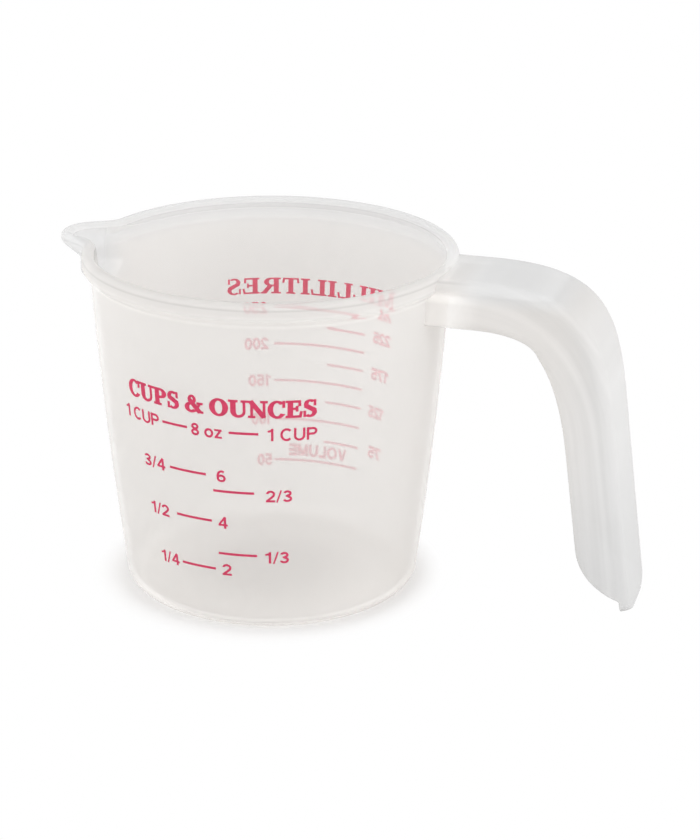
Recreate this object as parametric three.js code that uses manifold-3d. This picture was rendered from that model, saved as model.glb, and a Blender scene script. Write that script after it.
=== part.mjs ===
import * as THREE from 'three';
import Module from 'manifold-3d';

const wasm = await Module();
wasm.setup();

// A one-cup kitchen measuring cup in millimetres. It stands on z = 0 round the Z axis,
// with its handle towards +X, its pouring spout towards -X and its cup and ounce scale towards -Y.

// Bowl: a thin wall that widens from the foot to the mouth and bows out a little on the way
const HEIGHT = 86.2;
const FOOT_RADIUS = 36.5;
const MOUTH_RADIUS = 44.4;
const WALL_BOW = 0.8;
const WALL = 1.4;
const FLOOR = 1.7;
const FOOT_FILLET = 3.4;
const FLOOR_FILLET = 2.4;

// A shallow round step in the middle of the floor
const PAD_RADIUS = 23.7;
const PAD_RISE = 0.5;
const PAD_SLOPE = 0.5;

// Rim: a thicker band round the mouth, rounded over its top and eased on its inner edge
const RIM_DEPTH = 4.8;
const RIM_OVERHANG = 1.7;
const RIM_UNDERCUT = 0.8;
const RIM_ROUNDING = 1.3;
const RIM_EASE_WIDTH = 1.0;
const RIM_EASE_DEPTH = 2.2;

// Spout: in plan a wedge with a rounded tip, drawn out of the wall, with a lip that flares at the top.
// Reaches are measured from the bowl's axis, depths from the rim.
const SPOUT_REACH = 54.6;
const SPOUT_BODY_REACH = 49.6;
const SPOUT_TIP_RADIUS = 8.4;
const SPOUT_HALF_ANGLE = THREE.MathUtils.degToRad(27);
const SPOUT_DEPTH = 16;
const SPOUT_BODY_DEPTH = 9.5;
const SPOUT_FLARE_DEPTH = 6.4;
const SPOUT_NOSE_DEPTH = 1.6;
const SPOUT_LIP = 2.6;
const SPOUT_LEAN = 0.6;
const SPOUT_FILLET = 3;

// Handle: a channel open towards the bowl, a strap outside with a cheek along each edge.
// It runs level from the rim, bends down and leans out, and the strap ends in a rounded tongue.
// The cheeks are deepest half way round the bend.
const HANDLE_DROP = 0.75;
const HANDLE_WIDTH = 24.5;
const HANDLE_DEPTH = 11.6;
const BEND_SWELL = 2.2;
const STRAP = 2;
const CHEEK = 1.8;
const STRAP_ROUNDING = 2.8;
const CHANNEL_FILLET = 1.2;
const CHEEK_ROUNDING = 0.5;
const HANDLE_BEND_START = 54;
const HANDLE_BEND_END = new THREE.Vector2(89, 45);
const HANDLE_LEAN = THREE.MathUtils.degToRad(7.7);
const HANDLE_TOP_PULL = 31;
const HANDLE_SIDE_PULL = 27;
const HANDLE_END = 2.9;
const TONGUE_LENGTH = 4.5;
const CHEEK_END = 8.2;
const CHEEK_END_SLOPE = THREE.MathUtils.degToRad(20);
const CHEEK_CORNER = 9;

// The handle is moulded on to the bowl, and its node is cut clear of the bowl's by this much
const ROOT_GAP = 0.3;

// Printed graduations: thin strips of ink that follow the wall
const INK = 0.12;
const INK_GAP = 0.06;
const LINE_HEIGHT = 0.6;
const MILLILITRE = 1000;
const CUP = 236.588 * MILLILITRE;

// Fineness of the faceted surfaces, in degrees and steps
const WALL_COLUMN = 4;
const SPOUT_COLUMN = 2;
const SPOUT_ZONE = 30;
const WALL_STEPS = 6;
const SPOUT_STEPS = 5;
const BEND_STEPS = 20;
const TONGUE_STEPS = 16;
const INK_COLUMN = 2.5;
const LEVEL_STEP = 0.05;

// Where the middle of each scale lies round the axis, a little turned from square to the handle
const SCALE_TURN = -3;
const FRONT = -90 + SCALE_TURN;
const BACK = 90 + SCALE_TURN;

// Graduations for cups, as degrees along the wall to the right of the middle of the scale
const CUP_MARKS = [
  { name: 'mark_cup_1_left', cups: 1, from: -16.5, to: -7 },
  { name: 'mark_cup_1_right', cups: 1, from: 7.3, to: 16.8 },
  { name: 'mark_cup_3_4', cups: 3 / 4, from: -14.9, to: -1.2 },
  { name: 'mark_cup_2_3', cups: 2 / 3, from: 1.2, to: 15.1 },
  { name: 'mark_cup_1_2', cups: 1 / 2, from: -13.6, to: 0 },
  { name: 'mark_cup_1_3', cups: 1 / 3, from: 1.9, to: 15.7 },
  { name: 'mark_cup_1_4', cups: 1 / 4, from: -13.1, to: 0.4 },
];

// The millilitre scale has a long line at every second graduation
const METRIC_STEP = 25;
const METRIC_FIRST = 50;
const METRIC_LAST = 250;
const METRIC_START_ANGLE = -15;
const METRIC_SHORT_ANGLE = 0;
const METRIC_LONG_ANGLE = 20;

const polypropylene = new THREE.MeshStandardMaterial({
  color: 0xe9e7e3,
  roughness: 0.35,
  metalness: 0,
  transparent: true,
  opacity: 0.55,
});
const ink = new THREE.MeshStandardMaterial({ color: 0xcf2350, roughness: 0.5, metalness: 0 });

// Shared shape helpers

// The larger of two lengths, with a soft hollow where they cross
function softMax(a, b, fillet) {
  const overlap = Math.max(fillet - Math.abs(a - b), 0);
  return Math.max(a, b) + overlap ** 2 / (4 * fillet);
}

// A closed solid through rings of points of equal count, its ends capped by the rings' outline,
// which is drawn anticlockwise as seen from the last ring's outside
function loft(rings, outline) {
  const count = outline.length;
  const caps = THREE.ShapeUtils.triangulateShape(outline, []);
  const last = (rings.length - 1) * count;
  const triangles = [];
  for (const [a, b, c] of caps) {
    triangles.push([a, c, b], [last + a, last + b, last + c]);
  }
  for (let ring = 0; ring < rings.length - 1; ring += 1) {
    for (let side = 0; side < count; side += 1) {
      const a = ring * count + side;
      const b = ring * count + (side + 1) % count;
      triangles.push([a, b, b + count], [a, b + count, a + count]);
    }
  }
  const points = rings.flat().flatMap((point) => point.toArray());
  return new wasm.Manifold(new wasm.Mesh({
    numProp: 3,
    vertProperties: new Float32Array(points),
    triVerts: new Uint32Array(triangles.flat()),
  }));
}

// An anticlockwise outline made solid along Y, or along X when it is drawn in Y and Z
function extrude(outline, axis, from, to) {
  const ring = (offset) => outline.map(([across, z]) => (
    axis === 'y'
      ? new THREE.Vector3(across, offset, z)
      : new THREE.Vector3(offset, across, z)
  ));
  const ends = axis === 'y' ? [to, from] : [from, to];
  return loft(ends.map(ring), outline.map(([across, z]) => new THREE.Vector2(across, z)));
}

function meshOf(name, solid, material) {
  const { vertProperties, triVerts } = solid.getMesh();
  const geometry = new THREE.BufferGeometry();
  geometry.setAttribute('position', new THREE.BufferAttribute(vertProperties, 3));
  geometry.setIndex(new THREE.BufferAttribute(triVerts, 1));
  const mesh = new THREE.Mesh(geometry, material);
  mesh.name = name;
  return mesh;
}

// Bowl

const rimRadius = MOUTH_RADIUS + RIM_OVERHANG;
const rimBottom = HEIGHT - RIM_DEPTH;
const spoutBottom = HEIGHT - SPOUT_DEPTH;

function wallRadius(z) {
  const share = z / HEIGHT;
  const cone = THREE.MathUtils.lerp(FOOT_RADIUS, MOUTH_RADIUS, share);
  return cone + 4 * WALL_BOW * share * (1 - share);
}

function innerRadius(z) {
  const fillet = Math.max(FLOOR + FLOOR_FILLET - z, 0);
  return wallRadius(z) - WALL - FLOOR_FILLET + Math.sqrt(FLOOR_FILLET ** 2 - fillet ** 2);
}

// Distance from the bowl's axis to the edge of the spout, at an angle from its middle
function spoutEdge(angle, reach, tipRadius) {
  const centre = reach - tipRadius;
  const sideSine = Math.sin(SPOUT_HALF_ANGLE);
  const tipEnd = Math.atan2(tipRadius * Math.cos(SPOUT_HALF_ANGLE), centre + tipRadius * sideSine);
  if (angle <= tipEnd) {
    const half = centre * Math.sin(angle);
    return centre * Math.cos(angle) + Math.sqrt(tipRadius ** 2 - half ** 2);
  }
  return (centre * sideSine + tipRadius) / Math.sin(SPOUT_HALF_ANGLE + angle);
}

// How far the spout's outer face reaches at a height
function spoutReach(z) {
  const start = wallRadius(spoutBottom) - SPOUT_FILLET;
  const depth = HEIGHT - z;
  const body = 1 - THREE.MathUtils.smoothstep(depth, SPOUT_BODY_DEPTH, SPOUT_DEPTH);
  const flare = 1 - THREE.MathUtils.smoothstep(depth, SPOUT_NOSE_DEPTH, SPOUT_FLARE_DEPTH);
  return start + (SPOUT_BODY_REACH - start) * body + (SPOUT_REACH - SPOUT_BODY_REACH) * flare;
}

// A station of the bowl's section: its plain radius, its height, and how far inside the
// spout's outer face it lies where the spout carries it out
function station(radius, z, inset = 0) {
  return { radius, z, inset };
}

function stationRadius({ radius, z, inset }, angle) {
  if (z < spoutBottom || angle > Math.PI / 2) {
    return radius;
  }
  const reach = spoutReach(z - SPOUT_LEAN * inset) - inset;
  return softMax(radius, spoutEdge(angle, reach, SPOUT_TIP_RADIUS - inset), SPOUT_FILLET);
}

function arcPoints(steps, from, to, place) {
  return Array.from({ length: steps + 1 }, (_, step) => {
    const angle = THREE.MathUtils.degToRad(THREE.MathUtils.lerp(from, to, step / steps));
    return place(Math.cos(angle), Math.sin(angle));
  });
}

// Heights of the stations on the plain wall, and on up past the spout to the rim
const heightsBetween = (steps, from, to) => (
  Array.from({ length: steps }, (_, step) => THREE.MathUtils.lerp(from, to, step / steps))
);
const sideHeights = [
  ...heightsBetween(WALL_STEPS, FOOT_FILLET, spoutBottom).slice(1),
  ...heightsBetween(SPOUT_STEPS, spoutBottom, rimBottom),
];

function outerStations(clearance) {
  const rimFace = rimRadius + clearance;
  const foot = arcPoints(4, -90, 0, (across, up) => station(
    wallRadius(FOOT_FILLET) + clearance - FOOT_FILLET + FOOT_FILLET * across,
    FOOT_FILLET + (FOOT_FILLET + clearance) * up,
  ));
  const wall = [...sideHeights, rimBottom - clearance].map((z) => (
    station(wallRadius(z) + clearance, z)
  ));
  const face = [
    station(rimFace, rimBottom + RIM_UNDERCUT - clearance),
    station(rimFace, HEIGHT - (RIM_DEPTH + SPOUT_NOSE_DEPTH) / 2),
  ];
  return [...foot, ...wall, ...face];
}

function topStations() {
  const centre = rimRadius - RIM_ROUNDING;
  return arcPoints(4, 0, 90, (across, up) => station(
    centre + RIM_ROUNDING * across,
    HEIGHT - RIM_ROUNDING + RIM_ROUNDING * up,
    RIM_ROUNDING * (1 - across),
  ));
}

function innerStations() {
  const easeTop = wallRadius(HEIGHT) - WALL + RIM_EASE_WIDTH;
  const easeBottom = HEIGHT - RIM_EASE_DEPTH;
  const ease = arcPoints(3, 90, 180, (across, up) => station(
    easeTop + RIM_EASE_WIDTH * across,
    easeBottom + RIM_EASE_DEPTH * up,
    SPOUT_LIP - RIM_EASE_WIDTH * (1 + across),
  ));
  const throat = [(easeBottom + rimBottom) / 2, rimBottom];
  const wall = [...throat, ...sideHeights.toReversed()].map((z) => station(innerRadius(z), z, WALL));
  const floor = arcPoints(4, 0, -90, (across, up) => station(
    wallRadius(FLOOR + FLOOR_FILLET) - WALL - FLOOR_FILLET + FLOOR_FILLET * across,
    FLOOR + FLOOR_FILLET + FLOOR_FILLET * up,
    WALL,
  ));
  const pad = [
    station(PAD_RADIUS + PAD_SLOPE, FLOOR, WALL),
    station(PAD_RADIUS, FLOOR + PAD_RISE, WALL),
  ];
  return [...ease, ...wall, ...floor, ...pad];
}

// Columns round the axis in degrees from the middle of the spout, closer together across it
function columnAngles() {
  const columns = [];
  for (let angle = -SPOUT_ZONE; angle < SPOUT_ZONE; angle += SPOUT_COLUMN) {
    columns.push(angle);
  }
  for (let angle = SPOUT_ZONE; angle < 360 - SPOUT_ZONE; angle += WALL_COLUMN) {
    columns.push(angle);
  }
  return columns.map((angle) => THREE.MathUtils.degToRad(angle));
}

function revolve(stations, withSpout) {
  const columns = columnAngles();
  const rings = stations.map((place) => columns.map((angle) => {
    const fromSpout = Math.abs(Math.atan2(Math.sin(angle), Math.cos(angle)));
    const radius = withSpout ? stationRadius(place, fromSpout) : place.radius;
    return new THREE.Vector3(-radius * Math.cos(angle), -radius * Math.sin(angle), place.z);
  }));
  return loft(rings, columns.map((angle) => new THREE.Vector2(Math.cos(angle), Math.sin(angle))));
}

function bowlSolid() {
  return revolve([...outerStations(0), ...topStations(), ...innerStations()], true);
}

// The room that the bowl takes out of the handle's root
function bowlRoom() {
  const above = HEIGHT + RIM_DEPTH;
  return revolve([...outerStations(ROOT_GAP), station(rimRadius + ROOT_GAP, above)], false);
}

// Handle

const handleTop = HEIGHT - HANDLE_DROP;
const downward = new THREE.Vector2(Math.sin(HANDLE_LEAN), -Math.cos(HANDLE_LEAN));

// The strap's outer face seen from the side, from its far end to its root: points of it,
// the direction inwards at each and how much deeper the cheeks are there
function handleRoute() {
  const start = new THREE.Vector2(HANDLE_BEND_START, handleTop);
  const bend = new THREE.CubicBezierCurve(
    start,
    start.clone().add(new THREE.Vector2(HANDLE_TOP_PULL, 0)),
    HANDLE_BEND_END.clone().addScaledVector(downward, -HANDLE_SIDE_PULL),
    HANDLE_BEND_END,
  );
  const dropLength = HANDLE_BEND_END.y / Math.cos(HANDLE_LEAN) + HANDLE_DEPTH;
  const farEnd = HANDLE_BEND_END.clone().addScaledVector(downward, dropLength);
  const root = new THREE.Vector2(MOUTH_RADIUS - HANDLE_DEPTH, handleTop);
  const route = [{ point: farEnd, along: downward, swell: 0 }];
  for (let step = BEND_STEPS; step >= 0; step -= 1) {
    const share = step / BEND_STEPS;
    route.push({
      point: bend.getPoint(share),
      along: bend.getTangent(share),
      swell: BEND_SWELL * Math.sin(Math.PI * share) ** 2,
    });
  }
  route.push({ point: root, along: new THREE.Vector2(1, 0), swell: 0 });
  return route.map(({ point, along, swell }) => (
    { point, inward: new THREE.Vector2(along.y, -along.x), swell }
  ));
}

// Half of the channel's section as across and depth, from the strap's middle round to its inside
function halfSection(depth) {
  const edge = HANDLE_WIDTH / 2;
  const inside = edge - CHEEK;
  const outer = arcPoints(4, 90, 0, (across, up) => (
    [edge - STRAP_ROUNDING + STRAP_ROUNDING * across, STRAP_ROUNDING - STRAP_ROUNDING * up]
  ));
  const tip = [
    [edge, depth - CHEEK_ROUNDING],
    [edge - CHEEK_ROUNDING, depth],
    [inside + CHEEK_ROUNDING, depth],
    [inside, depth - CHEEK_ROUNDING],
  ];
  const channel = arcPoints(2, 0, 90, (across, up) => (
    [inside - CHANNEL_FILLET + CHANNEL_FILLET * across, STRAP + CHANNEL_FILLET - CHANNEL_FILLET * up]
  ));
  return [...outer, ...tip, ...channel];
}

function channelSection(swell) {
  const half = halfSection(HANDLE_DEPTH + swell);
  return [...half, ...half.map(([across, depth]) => [-across, depth]).reverse()];
}

function channelSolid() {
  const rings = handleRoute().map(({ point, inward, swell }) => (
    channelSection(swell).map(([across, depth]) => (
      new THREE.Vector3(point.x + inward.x * depth, across, point.y + inward.y * depth)
    ))
  ));
  return loft(rings, channelSection(0).map(([across, depth]) => new THREE.Vector2(across, depth)));
}

// A point on the drop of the handle, at a height and a depth behind the strap's outer face
function onDrop(z, depth) {
  const slope = Math.tan(HANDLE_LEAN);
  return [HANDLE_BEND_END.x + (HANDLE_BEND_END.y - z) * slope - depth / Math.cos(HANDLE_LEAN), z];
}

// What is taken off below the cheeks, whose ends slope and round up into their inner edges
function cheekTrim() {
  const below = -HANDLE_DEPTH;
  const cornerHeight = CHEEK_END + (HANDLE_DEPTH - STRAP) * Math.tan(CHEEK_END_SLOPE);
  const corner = onDrop(cornerHeight, HANDLE_DEPTH);
  const onEdge = onDrop(cornerHeight + CHEEK_CORNER, HANDLE_DEPTH);
  const round = new THREE.QuadraticBezierCurve(
    new THREE.Vector2(...onDrop(CHEEK_END, STRAP)),
    new THREE.Vector2(...corner),
    new THREE.Vector2(...onEdge),
  );
  const farSide = corner[0] - HANDLE_DEPTH;
  const outline = [
    onDrop(below, STRAP),
    ...round.getPoints(TONGUE_STEPS / 2).map((point) => point.toArray()),
    [farSide, onEdge[1]],
    [farSide, below],
  ];
  return extrude(outline, 'y', -HANDLE_WIDTH, HANDLE_WIDTH);
}

// What is taken off round the strap's tongue
function tongueTrim() {
  const shoulder = HANDLE_END + TONGUE_LENGTH;
  const half = HANDLE_WIDTH / 2;
  const tongue = arcPoints(TONGUE_STEPS, 0, -180, (across, up) => (
    [half * across, shoulder + TONGUE_LENGTH * up]
  ));
  const below = -2 * HANDLE_DEPTH;
  const outline = [
    [HANDLE_WIDTH, shoulder],
    ...tongue,
    [-HANDLE_WIDTH, shoulder],
    [-HANDLE_WIDTH, below],
    [HANDLE_WIDTH, below],
  ];
  const nearSide = onDrop(shoulder, 2 * HANDLE_DEPTH)[0];
  const farSide = onDrop(below, -STRAP)[0];
  return extrude(outline, 'x', nearSide, farSide);
}

function handleSolid() {
  return channelSolid().subtract(bowlRoom()).subtract(cheekTrim()).subtract(tongueTrim());
}

// Graduations

// The height of a liquid of this volume, standing in the bowl
function levelOf(volume) {
  let held = 0;
  let z = FLOOR;
  while (held < volume) {
    const middle = z + LEVEL_STEP / 2;
    const pad = middle < FLOOR + PAD_RISE ? PAD_RADIUS : 0;
    held += Math.PI * (innerRadius(middle) ** 2 - pad ** 2) * LEVEL_STEP;
    z += LEVEL_STEP;
  }
  return z;
}

// A line of ink at a height, between two angles in degrees from the middle of its scale
function inkStrip(side, z, from, to) {
  const steps = Math.max(Math.round((to - from) / INK_COLUMN), 1);
  const section = [
    [INK_GAP, z - LINE_HEIGHT / 2],
    [INK_GAP + INK, z - LINE_HEIGHT / 2],
    [INK_GAP + INK, z + LINE_HEIGHT / 2],
    [INK_GAP, z + LINE_HEIGHT / 2],
  ];
  const rings = Array.from({ length: steps + 1 }, (_, step) => {
    const angle = THREE.MathUtils.degToRad(side + THREE.MathUtils.lerp(to, from, step / steps));
    return section.map(([out, height]) => {
      const radius = wallRadius(height) + out;
      return new THREE.Vector3(radius * Math.cos(angle), radius * Math.sin(angle), height);
    });
  });
  return loft(rings, section.map(([out, height]) => new THREE.Vector2(out, height)));
}

const cup = new THREE.Group();
cup.name = 'measuring_cup';
cup.add(meshOf('bowl', bowlSolid(), polypropylene));
cup.add(meshOf('handle', handleSolid(), polypropylene));

const cupScale = new THREE.Group();
for (const { name, cups, from, to } of CUP_MARKS) {
  cupScale.add(meshOf(name, inkStrip(FRONT, levelOf(cups * CUP), from, to), ink));
}
cup.add(cupScale);

const metricScale = new THREE.Group();
for (let volume = METRIC_FIRST; volume <= METRIC_LAST; volume += METRIC_STEP) {
  const isLong = (volume - METRIC_FIRST) % (2 * METRIC_STEP) === 0;
  const end = isLong ? METRIC_LONG_ANGLE : METRIC_SHORT_ANGLE;
  const strip = inkStrip(BACK, levelOf(volume * MILLILITRE), METRIC_START_ANGLE, end);
  metricScale.add(meshOf(`mark_ml_${volume}`, strip, ink));
}
cup.add(metricScale);

export default cup;
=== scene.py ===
import math

import bmesh
import bpy
from mathutils import Matrix, Vector
from mathutils.geometry import delaunay_2d_cdt


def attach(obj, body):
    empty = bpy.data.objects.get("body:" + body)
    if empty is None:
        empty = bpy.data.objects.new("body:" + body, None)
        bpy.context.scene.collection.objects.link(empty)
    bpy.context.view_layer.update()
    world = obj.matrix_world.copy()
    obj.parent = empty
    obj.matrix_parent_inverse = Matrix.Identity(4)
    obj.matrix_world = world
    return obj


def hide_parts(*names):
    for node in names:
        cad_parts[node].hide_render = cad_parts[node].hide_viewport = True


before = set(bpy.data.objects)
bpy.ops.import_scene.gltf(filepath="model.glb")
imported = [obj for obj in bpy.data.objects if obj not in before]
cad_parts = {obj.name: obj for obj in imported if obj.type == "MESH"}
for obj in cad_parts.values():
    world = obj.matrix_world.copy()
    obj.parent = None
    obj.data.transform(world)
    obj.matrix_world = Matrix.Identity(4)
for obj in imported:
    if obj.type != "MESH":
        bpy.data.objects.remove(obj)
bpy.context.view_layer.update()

MM = 0.001

# The bowl, in millimetres, as the solids have it
HEIGHT = 86.2
FOOT_RADIUS = 36.5
MOUTH_RADIUS = 44.4
WALL_BOW = 0.8
WALL = 1.4
FLOOR = 1.7
SKIN = 0.12
FOOT_FILLET = 3.4
FLOOR_FILLET = 2.4
PAD_RADIUS = 23.7
PAD_RISE = 0.5
PAD_SLOPE = 0.5
RIM_DEPTH = 4.8
RIM_OVERHANG = 1.7
RIM_UNDERCUT = 2.2
RIM_ROUNDING = 1.3
RIM_EASE_WIDTH = 1.0
RIM_EASE_DEPTH = 2.2
SPOUT_REACH = 54.6
SPOUT_BODY_REACH = 49.6
SPOUT_TIP_RADIUS = 8.4
SPOUT_HALF_ANGLE = math.radians(27)
SPOUT_DEPTH = 16.0
SPOUT_BODY_DEPTH = 9.5
SPOUT_FLARE_DEPTH = 6.4
SPOUT_NOSE_DEPTH = 1.6
SPOUT_LIP = 2.6
SPOUT_LEAN = 0.6
SPOUT_FILLET = 3.0

# The handle
HANDLE_DROP = 0.75
HANDLE_WIDTH = 24.5
HANDLE_DEPTH = 11.6
BEND_SWELL = 2.2
STRAP = 2.0
CHEEK = 1.8
STRAP_ROUNDING = 2.8
CHANNEL_FILLET = 1.2
CHEEK_ROUNDING = 0.5
BEND_START = Vector((54, HEIGHT - HANDLE_DROP))
BEND_END = Vector((89, 45))
HANDLE_LEAN = math.radians(7.7)
TOP_PULL = 31
SIDE_PULL = 27
HANDLE_END = 3.7
TONGUE_LENGTH = 3.7
CHEEK_END = 8.2
CHEEK_END_SLOPE = math.radians(20)
CHEEK_CORNER = 9.0
# the strap thins over this length to a round edge at the tongue's tip
TONGUE_EASE = 0.8
# where a cheek's tip starts to round, as shares of its rounding across and down
TIP_SHARES = (0.3, 0.7)

RIM_RADIUS = MOUTH_RADIUS + RIM_OVERHANG
RIM_BOTTOM = HEIGHT - RIM_DEPTH
SPOUT_BOTTOM = HEIGHT - SPOUT_DEPTH

# The scales, in degrees round the axis
SCALE_TURN = -3
FRONT = -90 + SCALE_TURN
BACK = 90 + SCALE_TURN

# How finely the surfaces are divided
FOOT_STEPS = 10
WALL_STEPS = 10
SPOUT_STEPS = 20
BAND_STEPS = 10
RIM_STEPS = 4
ROUNDING_STEPS = 10
EASE_STEPS = 24
OUTER_EASE_STEPS = 17
THROAT_STEPS = 3
FLOOR_STEPS = 8
WALL_COLUMNS = 120
SPOUT_COLUMNS = 60
SPOUT_ZONE = 30
ROOT_STATIONS = (0, 3, 6)
BEND_STEPS = 48
DROP_STEPS = 6
CHEEK_END_STEPS = 24
TONGUE_STEPS = 16
TONGUE_TURN = 88
CHEEK_STEPS = 6
FILLET_STEPS = 8
STRAP_STEPS = 5
SHARP_ANGLE = math.radians(40)


def lerp(a, b, share):
    return a + (b - a) * share


def smoothstep(x, low, high):
    share = min(max((x - low) / (high - low), 0), 1)
    return share * share * (3 - 2 * share)


def mesh_piece(name, points, faces):
    """An object from points in millimetres, shaded smooth except across sharp edges."""
    mesh = bpy.data.meshes.new(name)
    mesh.from_pydata([Vector(p) * MM for p in points], [], faces)
    assert not mesh.validate()
    mesh.shade_smooth()
    mesh.set_sharp_from_angle(angle=SHARP_ANGLE)
    piece = bpy.data.objects.new(name, mesh)
    bpy.context.collection.objects.link(piece)
    return piece


# ---- Materials

PLASTIC_ROUGHNESS = 0.15
RIM_ROUGHNESS = 0.03
PLASTIC_IOR = 1.02
RIM_IOR = 1.004
COAT = 0.25
COAT_ROUGHNESS = 0.22
COAT_IOR = 1.49

OUTER_TINT = (0.905, 0.893, 0.88)
OUTER_BAND_TINT = (0.755, 0.74, 0.725)
# the inside faces are painted darker than the outside ones: painted shade for the cup's less lit inside
INNER_SHADED_TINT = (0.755, 0.741, 0.727)
THICK_TINT = (0.765, 0.765, 0.765)
GRIP_TINT = (0.71, 0.71, 0.71)
# painted warm light on the handle near the bowl's wall, for the warm light that comes through the bowl
ROOT_PAINTED_WARMTH = (0.705, 0.689, 0.673)
# painted shade: the handle darker towards its lower end
END_PAINTED_SHADE = (0.65, 0.65, 0.65)
SHADOW_TINT = (0.76, 0.73, 0.70)

# the share of the light that crosses a face unscattered
OUTER_CLEARNESS = 0.6
INNER_CLEARNESS = 0.88
THICK_CLEARNESS = 0.7
FOOT_CLEARNESS = 0.85
# factors on it at the rim's band and the handle
OUTER_BAND_CLEARNESS = 0.65
INNER_BAND_CLEARNESS = 1.0
GRIP_CLEARNESS = 0.4

# Places on the cup, as the coordinates in metres between which its looks change
FAR_SIDE = (-0.025, 0.02)
NEAR_SIDE = (-0.01, 0.0)
FAR_RIM = (0.0775, 0.0855)
BAND = (0.0820, 0.0834)
SMOOTH_RIM = (0.0785, 0.0805)
SPOUT_SIDE = (-0.047, -0.041)
SPOUT_HEIGHTS = (0.066, 0.074)
FOOT = (0.0004, 0.003)
GRIP = (0.047, 0.056)
ROOT_REACH = (0.070, 0.092)
ROOT_TOP = (0.079, 0.083)
GRIP_END = (0.004, 0.05)
# the near rim's painted highlight and shade lines, as two heights and the factor above them
RIM_SHADES = (
    (0.0844, 0.0848, 0.87),
    (0.0848, 0.0853, 1.15),
    (0.0855, 0.0861, 0.96),
    (0.0796, 0.0806, 1.12),
    (0.0816, 0.0826, 1 / 1.12),
)

# The handle's flow lines, its painted highlight line and its painted shade follow a rounded square in its
# side view, in metres
FLOW_LEAN = 0.135
FLOW_START = (0.0585, 0.045)
FLOW_REACH = (0.0365, 0.0405)
FLOW_SQUARENESS = 2.6
FLOW_LINES = 0.14
# a painted highlight line near the strap's outer face: how light it is, and the depths where it rises, peaks
# and fades
EDGE_HIGHLIGHT = 0.05
EDGE_HIGHLIGHT_DEPTHS = (0.86, 0.89, 0.92)
# painted shade: the strap's outer face is darker
OUTSIDE_DEPTHS = (0.88, 0.96)
OUTSIDE_SHADE = -0.04

# Frequencies of the noises, per metre, and how much they show
FLOW_GRAIN = (26, 22, 0)
CLOUD_GRAIN = (45, 45, 45)
CLOUDS = 0.05
SURFACE_GRAIN = (700, 700, 700)
GRAIN = 0.05
GRAIN_HEIGHT = 0.0002
INK_GRAIN = (900, 900, 900)
INK_GRAIN_RANGE = (0.3, 0.7)

FRONT_INK = ((0.70, 0.068, 0.17), (0.78, 0.082, 0.20))
# painted light: the same ink, painted lighter on the far side as if lit through from behind
BACK_INK = ((0.92, 0.085, 0.235), (0.97, 0.115, 0.275))
INK_SIDES = (-0.01, 0.01)
INK_ROUGHNESS = 0.45
INK_GLOW = 0.5
INK_SHADOW_TINT = (0.95, 0.45, 0.55)


def new_material(name):
    material = bpy.data.materials.new(name)
    material.use_nodes = True
    material.node_tree.nodes.clear()
    return material, material.node_tree


def add(tree, kind, **values):
    node = tree.nodes.new(kind)
    for key, value in values.items():
        setattr(node, key, value)
    return node


def feed(tree, value, socket):
    """Gives a socket a value, which is a link, a number or a colour."""
    if isinstance(value, bpy.types.NodeSocket):
        tree.links.new(value, socket)
    elif isinstance(value, tuple):
        socket.default_value = (*value, 1)
    else:
        socket.default_value = value


def ramp(tree, value, low, high, start=0.0, end=1.0):
    """start below low, end above high, and a soft step between them."""
    node = add(tree, "ShaderNodeMapRange", interpolation_type="SMOOTHSTEP")
    numbers = {"Value": value, "From Min": low, "From Max": high, "To Min": start, "To Max": end}
    for name, number in numbers.items():
        feed(tree, number, node.inputs[name])
    return node.outputs["Result"]


def maths(tree, operation, *values):
    node = add(tree, "ShaderNodeMath", operation=operation)
    for value, socket in zip(values, node.inputs):
        feed(tree, value, socket)
    return node.outputs[0]


def blend(tree, share, start, end):
    """A colour between two."""
    node = add(tree, "ShaderNodeMix", data_type="RGBA")
    for value, socket in zip((share, start, end), (node.inputs[0], *node.inputs[6:8])):
        feed(tree, value, socket)
    return node.outputs[2]


def blend_number(tree, share, start, end):
    node = add(tree, "ShaderNodeMix", data_type="FLOAT")
    for value, socket in zip((share, start, end), (node.inputs[0], *node.inputs[2:4])):
        feed(tree, value, socket)
    return node.outputs[0]


def scaled(tree, colour, factor):
    """A colour made darker or lighter."""
    node = add(tree, "ShaderNodeVectorMath", operation="SCALE")
    if isinstance(colour, tuple):
        node.inputs[0].default_value = colour
    else:
        tree.links.new(colour, node.inputs[0])
    tree.links.new(factor, node.inputs["Scale"])
    return node.outputs[0]


def mixed(tree, share, first, second):
    """The output of a shader between two others."""
    node = add(tree, "ShaderNodeMixShader")
    feed(tree, share, node.inputs[0])
    tree.links.new(first.outputs[0], node.inputs[1])
    tree.links.new(second.outputs[0], node.inputs[2])
    return node


def surface(tree, shader):
    out = add(tree, "ShaderNodeOutputMaterial")
    tree.links.new(shader.outputs[0], out.inputs["Surface"])


def clear_to_shadows(tree, shader, tint):
    """The shader, which lets tinted light through to what is in its shadow."""
    clear = add(tree, "ShaderNodeBsdfTransparent")
    feed(tree, tint, clear.inputs["Color"])
    path = add(tree, "ShaderNodeLightPath")
    return mixed(tree, path.outputs["Is Shadow Ray"], shader, clear)


def object_place(tree):
    """The place on the object, and its three coordinates in metres."""
    place = add(tree, "ShaderNodeTexCoord").outputs["Object"]
    axes = add(tree, "ShaderNodeSeparateXYZ")
    tree.links.new(place, axes.inputs[0])
    return place, axes.outputs


def noise(tree, place, stretch, detail):
    """Noise from 0 to 1, with stretch as its frequencies along the axes, per metre."""
    mapping = add(tree, "ShaderNodeMapping")
    mapping.inputs["Scale"].default_value = stretch
    texture = add(tree, "ShaderNodeTexNoise")
    texture.inputs["Scale"].default_value = 1.0
    texture.inputs["Detail"].default_value = detail
    tree.links.new(place, mapping.inputs["Vector"])
    tree.links.new(mapping.outputs[0], texture.inputs["Vector"])
    return texture.outputs["Fac"]


def centred(tree, value):
    """Noise moved to lie round 0."""
    return maths(tree, "SUBTRACT", value, 0.5)


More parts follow.
